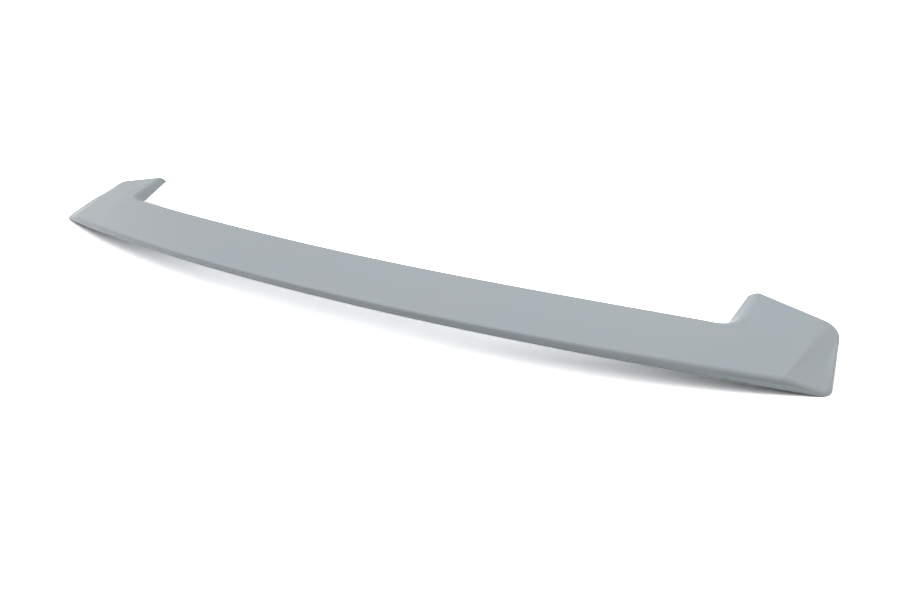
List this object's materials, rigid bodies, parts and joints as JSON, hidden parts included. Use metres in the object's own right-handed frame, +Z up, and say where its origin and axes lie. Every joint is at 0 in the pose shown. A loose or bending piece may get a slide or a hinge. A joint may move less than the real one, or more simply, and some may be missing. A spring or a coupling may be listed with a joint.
{
  "type": "car boot lid spoiler",
  "caption": "Low boot lid spoiler in primer grey: a thin moulded shell with a long bowed blade, a rolled rear face and a forward horn at each end, for bonding on.",
  "frame": {"origin": "centre of the face of the middle bonding land, under the blade", "axes": "+X to the right across the car, +Y towards the front of the car, +Z up"},
  "size_m": [1.1976, 0.2447, 0.0569],
  "materials": {
    "primer": "smooth grey primer over the moulding, unpainted, with a soft low sheen"
  },
  "bodies": {
    "root": {"spoiler_shell": "primer"}
  },
  "joints": []
}
